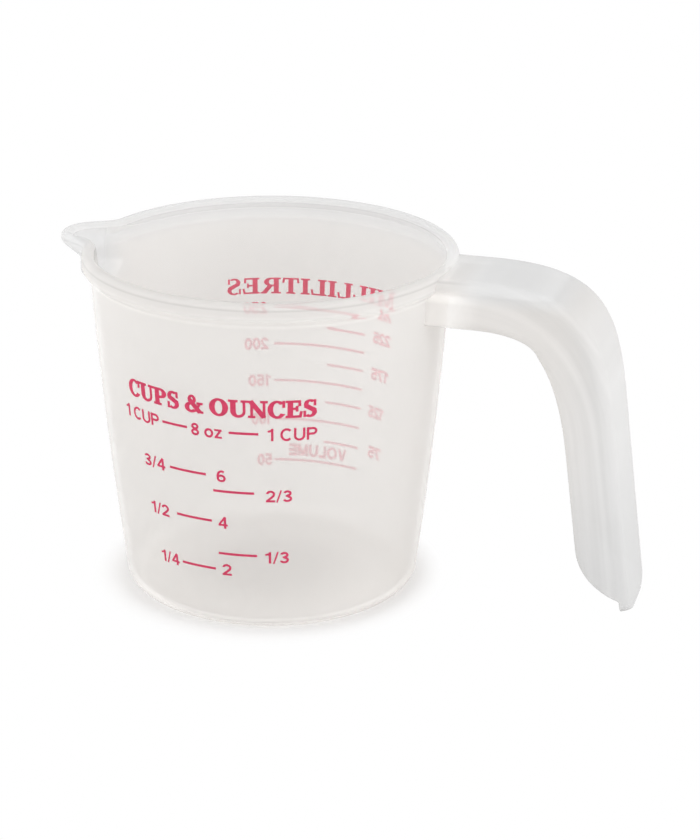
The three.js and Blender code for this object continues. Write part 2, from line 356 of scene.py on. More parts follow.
def flow_depth(tree, x, z):
    """0 at the handle's inner corner and 1 on the strap's outer face, in its side view."""
    powers = []
    upright = maths(tree, "MULTIPLY_ADD", z, FLOW_LEAN, x)
    for value, start, reach in zip((upright, z), FLOW_START, FLOW_REACH):
        past = maths(tree, "MAXIMUM", maths(tree, "SUBTRACT", value, start), 0)
        powers.append(maths(tree, "POWER", maths(tree, "DIVIDE", past, reach), FLOW_SQUARENESS))
    return maths(tree, "POWER", maths(tree, "ADD", *powers), 1 / FLOW_SQUARENESS)


def flow_lines_and_painted_light(tree, x, z):
    """The fine flow lines along the handle, a painted highlight line near its outer face, and painted shade
    on the strap's outer face.
    """
    depth = flow_depth(tree, x, z)
    place = add(tree, "ShaderNodeCombineXYZ")
    tree.links.new(depth, place.inputs[0])
    tree.links.new(maths(tree, "SUBTRACT", x, z), place.inputs[1])
    fine = centred(tree, noise(tree, place.outputs[0], FLOW_GRAIN, 3))
    low, middle, high = EDGE_HIGHLIGHT_DEPTHS
    # a painted highlight line near the strap's outer face
    edge = maths(tree, "MULTIPLY", ramp(tree, depth, low, middle), ramp(tree, depth, middle, high, 1, 0))
    lines = maths(tree, "MULTIPLY_ADD", fine, FLOW_LINES, maths(tree, "MULTIPLY", edge, EDGE_HIGHLIGHT))
    # painted shade on the strap's outer face
    return maths(tree, "ADD", lines, ramp(tree, depth, *OUTSIDE_DEPTHS, 0, OUTSIDE_SHADE))


def rim_shade(tree, y, z, grip):
    """Painted highlight and shade lines on the near rim, as factors on its colour. It is 1 on the far side
    and on the handle.
    """
    shade = 1.0
    for low, high, factor in RIM_SHADES:
        shade = maths(tree, "MULTIPLY", shade, ramp(tree, z, low, high, 1, factor))
    near = maths(tree, "MULTIPLY", ramp(tree, y, *NEAR_SIDE, 1, 0), maths(tree, "SUBTRACT", 1, grip))
    return blend_number(tree, near, 1.0, shade)


def plastic_material(name, clearness, wall_tint, band_clearness, band_tint):
    """Cloudy polypropylene: clearness is the share of the light that crosses a face of the wall unscattered.
    The far rim, the spout and the handle are less warm, and the handle is the cloudiest."""
    material, tree = new_material(name)
    place, (x, y, z) = object_place(tree)
    # the parts of the cup, as shares from 0 to 1
    band = ramp(tree, z, *BAND)
    foot = ramp(tree, z, *FOOT, 1, 0)
    grip = ramp(tree, x, *GRIP)
    spout = maths(tree, "MULTIPLY", ramp(tree, x, *SPOUT_SIDE, 1, 0), ramp(tree, z, *SPOUT_HEIGHTS))
    far_rim = maths(tree, "MULTIPLY", ramp(tree, z, *FAR_RIM), ramp(tree, y, *FAR_SIDE))
    thick = maths(tree, "MAXIMUM", far_rim, spout)
    smooth = maths(tree, "MAXIMUM", ramp(tree, z, *SMOOTH_RIM), maths(tree, "MAXIMUM", foot, spout))
    root = maths(tree, "MULTIPLY", ramp(tree, x, *ROOT_REACH, 1, 0), ramp(tree, z, *ROOT_TOP, 1, 0))

    walls = blend(tree, thick, blend(tree, band, wall_tint, band_tint), THICK_TINT)
    # painted warm light where the handle meets the bowl
    handle = blend(tree, root, GRIP_TINT, ROOT_PAINTED_WARMTH)
    # painted shade: darker towards the handle's lower end
    handle = blend(tree, ramp(tree, z, *GRIP_END, 1, 0), handle, END_PAINTED_SHADE)
    # fine flow lines, with a painted highlight line and painted shade on the handle
    flow_and_painted_light = maths(tree, "MULTIPLY", flow_lines_and_painted_light(tree, x, z), grip)
    clouds = centred(tree, noise(tree, place, CLOUD_GRAIN, 3))
    shade = maths(tree, "MULTIPLY_ADD", clouds, CLOUDS, maths(tree, "ADD", flow_and_painted_light, 1.0))
    # painted highlight and shade lines on the near rim
    shade = maths(tree, "MULTIPLY", shade, rim_shade(tree, y, z, grip))

    clear = maths(tree, "MULTIPLY_ADD", thick, THICK_CLEARNESS - clearness, clearness)
    clear = maths(tree, "MULTIPLY", clear, ramp(tree, band, 0, 1, 1, band_clearness))
    clear = blend_number(tree, foot, clear, FOOT_CLEARNESS)
    clear = maths(tree, "MULTIPLY", clear, ramp(tree, grip, 0, 1, 1, GRIP_CLEARNESS))

    grain = add(tree, "ShaderNodeBump")
    grain.inputs["Strength"].default_value = GRAIN
    grain.inputs["Distance"].default_value = GRAIN_HEIGHT
    tree.links.new(noise(tree, place, SURFACE_GRAIN, 2), grain.inputs["Height"])

    main = add(tree, "ShaderNodeBsdfPrincipled")
    values = {
        "Base Color": scaled(tree, blend(tree, grip, walls, handle), shade),
        "Transmission Weight": clear,
        "Roughness": ramp(tree, smooth, 0, 1, PLASTIC_ROUGHNESS, RIM_ROUGHNESS),
        "IOR": ramp(tree, smooth, 0, 1, PLASTIC_IOR, RIM_IOR),
        "Coat Weight": ramp(tree, maths(tree, "MAXIMUM", band, foot), 0, 1, COAT, 0),
        "Coat Roughness": COAT_ROUGHNESS,
        "Coat IOR": COAT_IOR,
        "Normal": grain.outputs[0],
    }
    for socket, value in values.items():
        feed(tree, value, main.inputs[socket])
    surface(tree, clear_to_shadows(tree, main, SHADOW_TINT))
    return material


def ink_material():
    """Crimson ink, thin enough to glow a little against the light. On the far side it is painted lighter:
    painted light for the light that shines through it from behind.
    """
    material, tree = new_material("printed_ink")
    place, (_, y, _) = object_place(tree)
    uneven = ramp(tree, noise(tree, place, INK_GRAIN, 2), *INK_GRAIN_RANGE)
    front = blend(tree, uneven, *FRONT_INK)
    back = blend(tree, uneven, *BACK_INK)
    # painted light: the far side's print is lighter
    colour = blend(tree, ramp(tree, y, *INK_SIDES), front, back)
    main = add(tree, "ShaderNodeBsdfPrincipled")
    main.inputs["Roughness"].default_value = INK_ROUGHNESS
    tree.links.new(colour, main.inputs["Base Color"])
    glow = add(tree, "ShaderNodeBsdfTranslucent")
    tree.links.new(colour, glow.inputs["Color"])
    surface(tree, clear_to_shadows(tree, mixed(tree, INK_GLOW, main, glow), INK_SHADOW_TINT))
    return material


outer_plastic = plastic_material(
    "polypropylene_outside", OUTER_CLEARNESS, OUTER_TINT, OUTER_BAND_CLEARNESS, OUTER_BAND_TINT
)
# the inside faces' colour carries painted shade: darker than the outside faces
inner_plastic = plastic_material(
    "polypropylene_inside", INNER_CLEARNESS, INNER_SHADED_TINT, INNER_BAND_CLEARNESS, INNER_SHADED_TINT
)
ink = ink_material()


# ---- Bowl


def wall_radius(z):
    """The outside of the wall. A printed line's inner face is sunk just under it."""
    share = z / HEIGHT
    return lerp(FOOT_RADIUS, MOUTH_RADIUS, share) + 4 * WALL_BOW * share * (1 - share) + SKIN


def inner_radius(z):
    fillet = max(FLOOR + FLOOR_FILLET - z, 0)
    return wall_radius(z) - WALL - FLOOR_FILLET + math.sqrt(FLOOR_FILLET**2 - fillet**2)


def soft_max(a, b, fillet):
    """The larger of two, rounded where they are close."""
    overlap = max(fillet - abs(a - b), 0)
    return max(a, b) + overlap**2 / (4 * fillet)


def spout_edge(angle, reach, tip_radius):
    """The radius of a wedge with a round tip, at an angle from its middle."""
    centre = reach - tip_radius
    side = math.sin(SPOUT_HALF_ANGLE)
    tip_end = math.atan2(tip_radius * math.cos(SPOUT_HALF_ANGLE), centre + tip_radius * side)
    if angle <= tip_end:
        half = centre * math.sin(angle)
        return centre * math.cos(angle) + math.sqrt(tip_radius**2 - half**2)
    return (centre * side + tip_radius) / math.sin(SPOUT_HALF_ANGLE + angle)


def spout_reach(z):
    """How far from the axis the spout's outer face comes at a height."""
    start = wall_radius(SPOUT_BOTTOM) - SPOUT_FILLET
    depth = HEIGHT - z
    body = 1 - smoothstep(depth, SPOUT_BODY_DEPTH, SPOUT_DEPTH)
    flare = 1 - smoothstep(depth, SPOUT_NOSE_DEPTH, SPOUT_FLARE_DEPTH)
    return start + (SPOUT_BODY_REACH - start) * body + (SPOUT_REACH - SPOUT_BODY_REACH) * flare


def station_radius(radius, z, inset, angle):
    """A station's radius at an angle from the spout's middle."""
    if z < SPOUT_BOTTOM or angle > math.pi / 2:
        return radius
    reach = spout_reach(z - SPOUT_LEAN * inset) - inset
    return soft_max(radius, spout_edge(angle, reach, SPOUT_TIP_RADIUS - inset), SPOUT_FILLET)


def lip_inset(z):
    """The wall's thickness at the spout, more at its lip."""
    return lerp(SPOUT_LIP, WALL, smoothstep(HEIGHT - z, 0, SPOUT_FLARE_DEPTH))


def arc(steps, start, end):
    """Cosines and sines of angles from start to end, in degrees."""
    angles = [math.radians(lerp(start, end, i / steps)) for i in range(steps + 1)]
    return [(math.cos(a), math.sin(a)) for a in angles]


def spread(steps, start, end):
    """Even steps from start, without the end."""
    return [lerp(start, end, i / steps) for i in range(steps)]


def bowl_stations():
    """The bowl's section as (radius, height, inset from the spout's outer face), from the foot over the rim
    to the floor's pad, and the number of the first station inside."""
    low = RIM_BOTTOM - RIM_UNDERCUT / 2
    high = low + RIM_UNDERCUT
    sides = spread(WALL_STEPS, FOOT_FILLET, SPOUT_BOTTOM)[1:] + spread(SPOUT_STEPS, SPOUT_BOTTOM, low)
    foot_centre = wall_radius(FOOT_FILLET) - FOOT_FILLET
    out = [
        (foot_centre + FOOT_FILLET * c, FOOT_FILLET + FOOT_FILLET * s, 0)
        for c, s in arc(FOOT_STEPS, -90, 0)
    ]
    out += [(wall_radius(z), z, 0) for z in sides]
    # the band's lower edge, as soft as moulded plastic shows it
    for share in spread(BAND_STEPS, 0, 1):
        z = low + RIM_UNDERCUT * share
        out.append((lerp(wall_radius(z), RIM_RADIUS, smoothstep(share, 0, 1)), z, 0))
    nose = HEIGHT - (RIM_DEPTH + SPOUT_NOSE_DEPTH) / 2
    heights = spread(RIM_STEPS, high, nose) + spread(RIM_STEPS, nose, HEIGHT - RIM_ROUNDING)
    out += [(RIM_RADIUS, z, 0) for z in heights]
    centre = RIM_RADIUS - RIM_ROUNDING
    out += [
        (centre + RIM_ROUNDING * c, HEIGHT - RIM_ROUNDING + RIM_ROUNDING * s, RIM_ROUNDING * (1 - c))
        for c, s in arc(ROUNDING_STEPS, 0, 90)
    ]
    inside = len(out) + OUTER_EASE_STEPS
    ease_bottom = HEIGHT - RIM_EASE_DEPTH
    for c, s in arc(EASE_STEPS, 90, 180):
        z = ease_bottom + RIM_EASE_DEPTH * s
        ease = RIM_EASE_WIDTH * (1 + c)
        out.append((inner_radius(z) + ease, z, lip_inset(z) - ease))
    throat = spread(THROAT_STEPS, ease_bottom, RIM_BOTTOM)[1:] + [RIM_BOTTOM]
    out += [(inner_radius(z), z, lip_inset(z)) for z in throat + sides[::-1]]
    floor_centre = wall_radius(FLOOR + FLOOR_FILLET) - WALL - FLOOR_FILLET
    out += [
        (floor_centre + FLOOR_FILLET * c, FLOOR + FLOOR_FILLET + FLOOR_FILLET * s, WALL)
        for c, s in arc(FLOOR_STEPS, 0, -90)
    ]
    pad_edge = PAD_RADIUS + PAD_SLOPE
    out += [((floor_centre + pad_edge) / 2, FLOOR, WALL), (pad_edge, FLOOR, WALL)]
    top = FLOOR + PAD_RISE
    out += [(PAD_RADIUS + PAD_SLOPE / 2, (FLOOR + top) / 2, WALL), (PAD_RADIUS, top, WALL)]
    return out, inside


def bowl_piece():
    stations, inside = bowl_stations()
    # degrees from the spout's middle
    columns = (
        spread(WALL_COLUMNS, -180, -SPOUT_ZONE)
        + spread(SPOUT_COLUMNS, -SPOUT_ZONE, SPOUT_ZONE)
        + spread(WALL_COLUMNS, SPOUT_ZONE, 180)
    )
    count = len(columns)
    points = []
    for radius, z, inset in stations:
        for degrees in columns:
            angle = math.radians(degrees)
            r = station_radius(radius, z, inset, abs(angle))
            points.append((-r * math.cos(angle), -r * math.sin(angle), z))
    faces = []
    for ring in range(len(stations) - 1):
        for i in range(count):
            a, b = ring * count + i, ring * count + (i + 1) % count
            faces.append((a, b, b + count, a + count))
    last = (len(stations) - 1) * count
    under, over = len(points), len(points) + 1
    points += [(0, 0, 0), (0, 0, FLOOR + PAD_RISE)]
    faces += [(under, (i + 1) % count, i) for i in range(count)]
    faces += [(over, last + i, last + (i + 1) % count) for i in range(count)]
    piece = mesh_piece("bowl_body", points, faces)
    for face in piece.data.polygons:
        face.material_index = 1 if min(face.vertices) >= inside * count else 0
    return piece


# ---- Handle

DOWN = Vector((math.sin(HANDLE_LEAN), -math.cos(HANDLE_LEAN)))


def bezier(p0, p1, p2, p3, t):
    """A point of the cubic and its direction."""
    u = 1 - t
    point = p0 * u**3 + p1 * (3 * u * u * t) + p2 * (3 * u * t * t) + p3 * t**3
    along = (p1 - p0) * (u * u) + (p2 - p1) * (2 * u * t) + (p3 - p2) * (t * t)
    return point, along.normalized()


def drop_point(z):
    """The strap's outer face on the drop, at a height."""
    return BEND_END + DOWN * ((BEND_END.y - z) / math.cos(HANDLE_LEAN))


def handle_rings():
    """The route as (point, direction, depth of the cheeks, half width) from the root to the tip."""
    half = HANDLE_WIDTH / 2
    rings = []
    level = Vector((1, 0))
    for s in ROOT_STATIONS:
        rings.append((Vector((MOUTH_RADIUS + s, BEND_START.y)), level, HANDLE_DEPTH, half))
    pulled = (BEND_START + Vector((TOP_PULL, 0)), BEND_END - DOWN * SIDE_PULL)
    for i in range(BEND_STEPS + 1):
        t = i / BEND_STEPS
        point, along = bezier(BEND_START, *pulled, BEND_END, t)
        rings.append((point, along, HANDLE_DEPTH + BEND_SWELL * math.sin(math.pi * t) ** 2, half))
    # the cheeks' ends: a curve from their inner edge to the strap's inside
    corner = CHEEK_END + (HANDLE_DEPTH - STRAP) * math.tan(CHEEK_END_SLOPE)
    ends = []
    for i in range(CHEEK_END_STEPS + 1):
        u = i / CHEEK_END_STEPS
        z = (1 - u) ** 2 * CHEEK_END + 2 * u * (1 - u) * corner + u * u * (corner + CHEEK_CORNER)
        depth = (1 - u) ** 2 * STRAP + (1 - (1 - u) ** 2) * HANDLE_DEPTH
        ends.append((z + depth * math.sin(HANDLE_LEAN), depth))
    ends.reverse()
    for z in spread(DROP_STEPS, BEND_END.y, ends[0][0])[1:]:
        rings.append((drop_point(z), DOWN, HANDLE_DEPTH, half))
    for z, depth in ends:
        rings.append((drop_point(z), DOWN, depth, half))
    shoulder = HANDLE_END + TONGUE_LENGTH
    for i in range(TONGUE_STEPS + 1):
        turn = math.radians(min(90 * i / TONGUE_STEPS, TONGUE_TURN))
        z = shoulder - TONGUE_LENGTH * math.sin(turn)
        rings.append((drop_point(z), DOWN, STRAP, half * math.cos(turn)))
    return rings


def section(depth, half, end):
    """Pairs of outer and inner points (across, depth), from one cheek's tip over the strap to the other's.
    end is how far the section is from the tongue's tip: there the strap thins to a round edge."""
    edge = HANDLE_WIDTH / 2
    inside = edge - CHEEK
    short = max(TONGUE_EASE - end, 0)
    thin = TONGUE_EASE - math.sqrt(TONGUE_EASE**2 - short**2)
    tip = max(depth - CHEEK_ROUNDING, STRAP - thin)
    outer, inner = [], []
    for share in spread(CHEEK_STEPS, 0, 1):
        outer.append((edge, lerp(tip, STRAP_ROUNDING, share)))
        inner.append((inside, lerp(tip, STRAP + CHANNEL_FILLET, share)))
    for c, s in arc(FILLET_STEPS, 0, 90):
        outer.append((edge - STRAP_ROUNDING * (1 - c), STRAP_ROUNDING * (1 - s)))
        inner.append((inside - CHANNEL_FILLET * (1 - c), STRAP + CHANNEL_FILLET * (1 - s)))
    for share in spread(STRAP_STEPS, 0, 1)[1:] + [1]:
        outer.append((lerp(edge - STRAP_ROUNDING, 0, share), 0))
        inner.append((lerp(inside - CHANNEL_FILLET, 0, share), STRAP))
    outer += [(-a, d) for a, d in outer[-2::-1]]
    inner += [(-a, d) for a, d in inner[-2::-1]]
    narrow = half / edge
    outer = [(a * narrow, min(max(d, thin), tip)) for a, d in outer]
    inner = [(a * narrow, min(max(d, STRAP - thin), tip)) for a, d in inner]
    return outer, inner


def cheek_tip(sign, outer, inner, gap):
    """A cheek's tip, rounded between its outer and its inner side, from the outer to the inner one."""
    bottom = max(outer[1], inner[1]) + gap
    near, far = TIP_SHARES
    return [
        (outer[0] - sign * gap * near, lerp(outer[1], bottom, far)),
        (outer[0] - sign * gap, bottom),
        ((outer[0] + inner[0]) / 2, bottom),
        (inner[0] + sign * gap, bottom),
        (inner[0] + sign * gap * near, lerp(inner[1], bottom, far)),
    ]


def handle_piece():
    rings = handle_rings()
    points = []
    for number, (point, along, depth, half) in enumerate(rings):
        end = (point.y - HANDLE_END) / math.cos(HANDLE_LEAN)
        outer, inner = section(depth, half, end)
        gap = max(min((depth - STRAP) / 4, CHEEK_ROUNDING), 0)
        tips = [cheek_tip(-1, outer[-1], inner[-1], gap), cheek_tip(1, outer[0], inner[0], gap)]
        loop = outer + tips[0] + inner[::-1] + tips[1][::-1]
        inward = Vector((along.y, -along.x))
        for across, deep in loop:
            s = point.x + inward.x * deep
            z = point.y + inward.y * deep
            if number == 0:
                # the root follows the bowl's wall, half way into it
                s = math.sqrt((wall_radius(min(z, HEIGHT)) - WALL / 2) ** 2 - across**2)
            points.append((s, across, z))
    size, n, tip = len(loop), len(outer), len(tips[0])
    faces = []
    for ring in range(len(rings) - 1):
        for i in range(size):
            a, b = ring * size + i, ring * size + (i + 1) % size
            faces.append((a, a + size, b + size, b))
    # each end: the strip between the outer and the inner side, and the two tips
    cap = []
    for a in range(n - 1):
        across = 2 * n + tip - 1 - a
        cap.append((a, a + 1, across - 1, across))
    cap.append(tuple(range(n - 1, n + tip + 1)))
    cap.append((*range(2 * n + tip - 1, size), 0))
    last = len(points) - size
    faces += cap + [tuple(last + i for i in face[::-1]) for face in cap]
    return mesh_piece("handle_body", points, faces)


def outward(piece):
    """Turns the faces of a closed mesh outwards."""
    bm = bmesh.new()
    bm.from_mesh(piece.data)
    bmesh.ops.recalc_face_normals(bm, faces=bm.faces)
    if bm.calc_volume(signed=True) < 0:
        bmesh.ops.reverse_faces(bm, faces=bm.faces)
    bm.to_mesh(piece.data)
    bm.free()


def fused(piece, other):
    """piece joined with other into one closed body."""
    joined = piece.modifiers.new("join", "BOOLEAN")
    joined.operation = "UNION"
    joined.solver = "EXACT"
    joined.object = other
    mesh = bpy.data.meshes.new_from_object(piece.evaluated_get(bpy.context.evaluated_depsgraph_get()))
    piece.modifiers.clear()
    piece.data = mesh
    bpy.data.objects.remove(other)
    mesh.shade_smooth()
    mesh.set_sharp_from_angle(angle=SHARP_ANGLE)


body = bowl_piece()
grip = handle_piece()
for piece in (body, grip):
    for material in (outer_plastic, inner_plastic):
        piece.data.materials.append(material)
outward(body)
outward(grip)
fused(body, grip)
body.name = "cup_body"

# ---- Lettering

INK = 0.12
INK_GAP = 0.06
# in cap heights
STROKE = 0.17
STEM = 0.22
HAIR = 0.075
# the upright cuts' distance, and how far they reach past the letters
CUT = 0.35
OVERSHOOT = 0.1
# in degrees
BOW_STEP = 15
# delaunay_2d_cdt keeps only what is inside the strokes, and welds nearer points
CDT_INSIDE = 1
CDT_NEAR = 1e-5


def bar(x0, y0, x1, y1, width=STROKE):
    """A straight stroke, in cap heights from the letter's lower left."""
    along = Vector((x1 - x0, y1 - y0)).normalized()
    side = Vector((-along.y, along.x)) * (width / 2)
    start, end = Vector((x0, y0)), Vector((x1, y1))
    return [start - side, end - side, end + side, start + side]


def bow(x, y, rx, ry, start, end, wide=STROKE, thin=STROKE):
    """An arc of an oval stroke, wide where it runs upright and thin where it runs level."""
    steps = max(int((end - start) / BOW_STEP), 2)
    outer = [Vector((x + rx * c, y + ry * s)) for c, s in arc(steps, start, end)]
    inner = [Vector((x + (rx - wide) * c, y + (ry - thin) * s)) for c, s in arc(steps, end, start)]
    return outer + inner


def oval(x, y, rx, ry, wide=STROKE, thin=STROKE):
    return [bow(x, y, rx, ry, 0, 180, wide, thin), bow(x, y, rx, ry, 180, 360, wide, thin)]


def serif(x0, x1, y=0.0):
    """A level serif, at the foot or the head of a stem."""
    middle = y + HAIR / 2 if y < 0.5 else y - HAIR / 2
    return bar(x0, middle, x1, middle, HAIR)


def fine_bow(*oval_and_angles):
    return bow(*oval_and_angles, STEM, HAIR)


# plain letters: a width in cap heights and the strokes
PLAIN = {
    " ": (0.24, []),
    "0": (0.66, oval(0.33, 0.5, 0.33, 0.5)),
    "1": (0.5, [bar(0.36, 0, 0.36, 1), bar(0.04, 0.75, 0.4, 0.86, 0.15)]),
    "2": (0.66, [
        bow(0.33, 0.68, 0.33, 0.32, -40, 170), bar(0.52, 0.52, 0.08, 0.1), bar(0, 0.085, 0.66, 0.085, 0.17)
    ]),
    "3": (0.66, [
        bow(0.32, 0.74, 0.3, 0.26, -90, 165), bow(0.33, 0.28, 0.33, 0.28, -165, 90),
        bar(0.2, 0.53, 0.36, 0.53, 0.15)
    ]),
    "4": (0.7, [bar(0.5, 0, 0.5, 1), bar(0, 0.3, 0.7, 0.3, 0.16), bar(0.5, 1, 0.05, 0.3, 0.15)]),
    "5": (0.66, [
        bar(0.1, 0.915, 0.62, 0.915, 0.17), bar(0.17, 0.98, 0.1, 0.42, 0.16),
        bow(0.33, 0.33, 0.33, 0.33, -160, 145)
    ]),
    "6": (0.66, [*oval(0.33, 0.32, 0.33, 0.32), bow(0.37, 0.5, 0.37, 0.5, 55, 200)]),
    "7": (0.64, [bar(0, 0.915, 0.64, 0.915, 0.17), bar(0.56, 0.9, 0.24, 0)]),
    "8": (0.66, [*oval(0.33, 0.74, 0.3, 0.26), *oval(0.33, 0.28, 0.33, 0.28)]),
    "/": (0.36, [bar(0.03, -0.02, 0.33, 1.02, 0.11)]),
    "C": (0.88, [bow(0.46, 0.5, 0.46, 0.52, 45, 315)]),
    "U": (0.84, [
        bar(0.0925, 0.38, 0.0925, 1), bar(0.7475, 0.38, 0.7475, 1), bow(0.42, 0.39, 0.42, 0.41, 180, 360)
    ]),
    "P": (0.78, [
        bar(0.0925, 0, 0.0925, 1), bow(0.44, 0.69, 0.34, 0.31, -90, 90), bar(0, 0.9075, 0.45, 0.9075),
        bar(0, 0.4725, 0.45, 0.4725)
    ]),
    "V": (0.84, [bar(0.09, 1, 0.42, 0), bar(0.75, 1, 0.42, 0)]),
    "O": (0.98, oval(0.49, 0.5, 0.49, 0.52)),
    "L": (0.66, [bar(0.0925, 0, 0.0925, 1), bar(0, 0.0925, 0.66, 0.0925)]),
    "M": (0.96, [
        bar(0.0925, 0, 0.0925, 1), bar(0.8675, 0, 0.8675, 1), bar(0.1, 1, 0.48, 0.06),
        bar(0.86, 1, 0.48, 0.06)
    ]),
    "E": (0.7, [bar(0.0925, 0, 0.0925, 1)] + [bar(0, y, 0.7, y, 0.17) for y in (0.085, 0.5, 0.915)]),
    "o": (0.72, oval(0.36, 0.36, 0.36, 0.38)),
    "z": (0.58, [
        bar(0, 0.655, 0.58, 0.655, 0.15), bar(0, 0.075, 0.58, 0.075, 0.15), bar(0.5, 0.66, 0.08, 0.07)
    ]),
    "m": (1.02, [bar(x, 0, x, 0.5 if x > 0.1 else 0.74, 0.17) for x in (0.085, 0.51, 0.935)]
          + [bow(x, 0.46, 0.2975, 0.28, 0, 180, 0.17, 0.17) for x in (0.2975, 0.7225)]),
    "l": (0.185, [bar(0.0925, 0, 0.0925, 1)]),
}

# heading letters, with thick stems, thin joins and serifs
FINE = {
    " ": (0.28, []),
    "C": (0.86, [fine_bow(0.46, 0.5, 0.46, 0.52, 48, 322), bar(0.8, 0.64, 0.8, 1, 0.08)]),
    "E": (0.86, [
        bar(0.23, 0, 0.23, 1, STEM), bar(0.02, HAIR / 2, 0.78, HAIR / 2, HAIR),
        bar(0.02, 1 - HAIR / 2, 0.74, 1 - HAIR / 2, HAIR), bar(0.3, 0.52, 0.58, 0.52, HAIR),
        bar(0.58, 0.38, 0.58, 0.66, 0.07), bar(0.72, 0.7, 0.7, 1, 0.08), bar(0.8, 0.32, 0.75, 0, 0.08)
    ]),
    "I": (0.46, [bar(0.23, 0, 0.23, 1, STEM), serif(0.02, 0.44), serif(0.02, 0.44, 1)]),
    "L": (0.8, [
        bar(0.23, 0, 0.23, 1, STEM), serif(0.02, 0.44, 1), serif(0.02, 0.74), bar(0.76, 0.34, 0.71, 0, 0.08)
    ]),
    "M": (1.14, [
        bar(0.16, 0, 0.16, 1, HAIR), serif(0.02, 0.32), bar(0.16, 1, 0.55, 0.04, 0.2), serif(0.02, 0.24, 1),
        bar(0.92, 0.98, 0.55, 0.06, HAIR), bar(0.93, 0, 0.93, 1, STEM), serif(0.72, 1.14),
        serif(0.86, 1.14, 1)
    ]),
    "N": (0.98, [
        bar(0.18, 0, 0.18, 1, HAIR), serif(0.02, 0.34), bar(0.14, 0.98, 0.8, 0.04, 0.2),
        serif(0.0, 0.24, 1), bar(0.82, 0.02, 0.82, 1, HAIR), serif(0.66, 0.98, 1)
    ]),
    "O": (0.96, oval(0.48, 0.5, 0.48, 0.52, STEM + 0.02, HAIR)),
    "P": (0.86, [
        bar(0.23, 0, 0.23, 1, STEM), serif(0.02, 0.46), bar(0.02, 1 - HAIR / 2, 0.46, 1 - HAIR / 2, HAIR),
        fine_bow(0.45, 0.725, 0.37, 0.275, -90, 90), bar(0.3, 0.4875, 0.46, 0.4875, HAIR)
    ]),
    "R": (0.98, [
        bar(0.23, 0, 0.23, 1, STEM), serif(0.02, 0.46), bar(0.02, 1 - HAIR / 2, 0.46, 1 - HAIR / 2, HAIR),
        fine_bow(0.45, 0.735, 0.37, 0.265, -90, 90), bar(0.3, 0.5075, 0.46, 0.5075, HAIR),
        bar(0.5, 0.52, 0.82, 0.04, 0.2), serif(0.76, 0.98)
    ]),
    "S": (0.7, [
        bow(0.35, 0.745, 0.3, 0.275, 50, 250, 0.17, HAIR),
        bow(0.35, 0.275, 0.33, 0.295, -130, 70, 0.18, HAIR), bar(0.12, 0.67, 0.6, 0.36, 0.2),
        bar(0.6, 0.68, 0.6, 0.99, 0.07), bar(0.07, 0.01, 0.07, 0.33, 0.07)
    ]),
    "T": (0.86, [
        bar(0.43, 0, 0.43, 1, STEM), serif(0.22, 0.64), bar(0.06, 1 - HAIR / 2, 0.8, 1 - HAIR / 2, HAIR),
        bar(0.06, 0.7, 0.1, 1, 0.08), bar(0.8, 0.7, 0.76, 1, 0.08)
    ]),
    "U": (0.98, [
        bar(0.24, 0.32, 0.24, 1, STEM), serif(0.02, 0.46, 1), bar(0.82, 0.32, 0.82, 1, HAIR),
        serif(0.68, 0.96, 1), bow(0.4942, 0.33, 0.3642, 0.35, 180, 270, STEM, 0.1),
        bow(0.4942, 0.33, 0.3642, 0.35, 270, 360, HAIR, 0.1)
    ]),
    "&": (1.04, [
        *oval(0.42, 0.77, 0.2, 0.25, 0.1, HAIR), bow(0.36, 0.27, 0.34, 0.29, 90, 320, 0.2, 0.09),
        bar(0.3, 0.72, 0.84, 0.04, 0.2), bar(0.62, 0.1, 0.86, 0.54, HAIR), serif(0.76, 1.02),
        bar(0.72, 0.56, 1.0, 0.56, HAIR)
    ]),
}


def grown(stroke, growth):
    """A stroke made heavier: its sides are moved out."""
    moved = []
    for last, point, following in zip(stroke[-1:] + stroke[:-1], stroke, stroke[1:] + stroke[:1]):
        before, after = (point - last).normalized(), (following - point).normalized()
        out = Vector((before.y + after.y, -before.x - after.x))
        moved.append(point + out * (growth / (1 + before.dot(after))))
    return moved


def flat_letters(text, letters, gap, growth):
    """The text's outline as one flat mesh of triangles, in cap heights, and its length. It is cut upright
    often enough to bend round the wall."""
    corners, loops = [], []
    x = 0
    for letter in text:
        width, strokes = letters[letter]
        for stroke in strokes:
            loops.append(list(range(len(corners), len(corners) + len(stroke))))
            corners += [point + Vector((x, 0)) for point in grown(stroke, growth)]
        x += width + gap
    length = x - gap
    cuts = []
    for along in spread(int(length / CUT), 0, length)[1:]:
        cuts.append((len(corners), len(corners) + 1))
        corners += [Vector((along, -OVERSHOOT)), Vector((along, 1 + OVERSHOOT))]
    points, _, faces, _, _, strokes = delaunay_2d_cdt(corners, cuts, loops, CDT_INSIDE, CDT_NEAR)
    faces = [face for face, found in zip(faces, strokes) if found]
    used = sorted({i for face in faces for i in face})
    number = {old: new for new, old in enumerate(used)}
    return [points[i] for i in used], [[number[i] for i in face] for face in faces], length


def label(name, text, side, start, end, z, height, letters, gap, growth):
    """Lettering printed on the wall between two angles, centred on a height."""
    points, faces, length = flat_letters(text, letters, gap, growth)
    count = len(points)
    placed = []
    for out in (INK_GAP, INK_GAP + INK):
        for point in points:
            angle = math.radians(side + lerp(start, end, point.x / length))
            level = z + (point.y - 0.5) * height
            radius = wall_radius(level) - SKIN + out
            placed.append((radius * math.cos(angle), radius * math.sin(angle), level))
    edges = dict.fromkeys(edge for face in faces for edge in zip(face, face[1:] + face[:1]))
    sides = [(a, b, b + count, a + count) for a, b in edges if (b, a) not in edges]
    fronts = [tuple(i + count for i in face) for face in faces]
    backs = [tuple(face[::-1]) for face in faces]
    piece = mesh_piece(name, placed, fronts + backs + sides)
    piece.data.materials.append(ink)
    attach(piece, "root")


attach(body, "root")
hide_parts("bowl", "handle")

for name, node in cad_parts.items():
    if name.startswith("mark_"):
        node.data.materials.clear()
        node.data.materials.append(ink)

